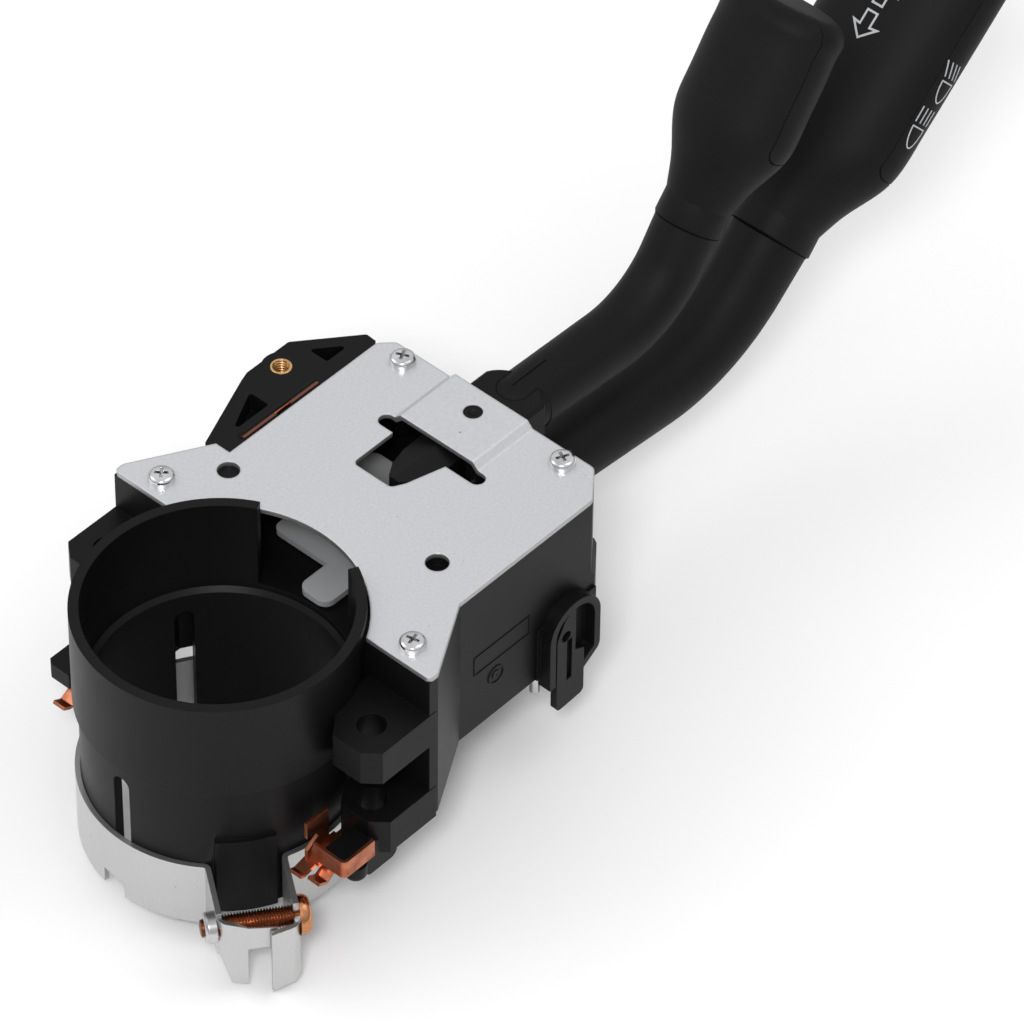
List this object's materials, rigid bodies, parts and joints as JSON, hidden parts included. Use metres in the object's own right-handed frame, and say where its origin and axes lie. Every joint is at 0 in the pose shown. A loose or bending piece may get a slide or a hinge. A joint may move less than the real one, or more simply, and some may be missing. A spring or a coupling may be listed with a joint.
{
  "type": "combination stalk switch",
  "caption": "Steering column switch: slotted collar with clamp band, flat housing under a stamped plate, and stacked cranked levers that swing and tilt.",
  "frame": {"origin": "on the collar's axis, level with the top face of the top plate", "axes": "+Z along the collar towards the driver, +X from the collar to the levers, +Y to the side with the bracket and brass insert"},
  "size_m": [0.2765, 0.0927, 0.1244],
  "materials": {
    "housing_plastic": "fine grained black moulding",
    "lever_plastic": "satin black grip",
    "zinc_sheet": "zinc plated sheet, finely speckled",
    "band_sheet": "nickel plated sheet",
    "steel": "bright steel",
    "copper": "copper coloured metal",
    "brass": "turned brass",
    "board": "brown laminate board",
    "pale_plastic": "uncoloured moulding"
  },
  "bodies": {
    "switch_base": {"collar_frame": "housing_plastic", "switch_housing": "housing_plastic", "bottom_cover": "housing_plastic", "cover_screws": "steel", "connector_inlet": "housing_plastic", "connector_terminals": "copper", "top_plate": "zinc_sheet", "plate_screws": "steel", "contact_board": "board", "side_bracket": "housing_plastic", "threaded_insert": "brass", "clamp_band": "band_sheet", "clamp_screw": "copper", "contact_spring_right": "copper", "contact_spring_left": "copper", "cable_guide": "housing_plastic", "locating_pin": "steel", "cancel_spring": "steel", "upper_detent_block": "housing_plastic", "lower_detent_block": "housing_plastic"},
    "cancel_slide": {"cancel_slide": "pale_plastic"},
    "upper_carrier": {"upper_carrier": "housing_plastic", "upper_tilt_pin": "steel"},
    "upper_lever": {"upper_root": "housing_plastic", "upper_arm": "lever_plastic", "upper_head": "lever_plastic", "upper_back_cover": "lever_plastic", "upper_plunger": "steel", "upper_plunger_spring": "steel"},
    "lower_carrier": {"lower_carrier": "housing_plastic", "lower_tilt_pin": "steel"},
    "lower_lever": {"lower_root": "housing_plastic", "lower_arm": "lever_plastic", "lower_head": "lever_plastic", "lower_back_cover": "lever_plastic", "lower_plunger": "steel", "lower_plunger_spring": "steel"}
  },
  "joints": [
    {"name": "cancel_swing", "type": "hinge", "parent": "switch_base", "child": "cancel_slide", "pos_m": [0.0788, 0.0003, 0], "axis": [0, 0, 1], "range_deg": [-2.5, 2.5], "stiffness_Nm_per_rad": 0.8},
    {"name": "upper_swing", "type": "hinge", "parent": "switch_base", "child": "upper_carrier", "pos_m": [0.0788, 0.0003, 0], "axis": [0, 0, 1], "range_deg": [-12, 0]},
    {"name": "upper_tilt", "type": "hinge", "parent": "upper_carrier", "child": "upper_lever", "pos_m": [0.0788, 0.0003, -0.0068], "axis": [0, 1, 0], "range_deg": [-4, 0], "stiffness_Nm_per_rad": 2, "springref_deg": 1.72},
    {"name": "lower_swing", "type": "hinge", "parent": "switch_base", "child": "lower_carrier", "pos_m": [0.0788, 0.0003, 0], "axis": [0, 0, 1], "range_deg": [-8, 8]},
    {"name": "lower_tilt", "type": "hinge", "parent": "lower_carrier", "child": "lower_lever", "pos_m": [0.0788, 0.0003, -0.031], "axis": [0, 1, 0], "range_deg": [-5, 4], "stiffness_Nm_per_rad": 12, "springref_deg": -0.46}
  ]
}
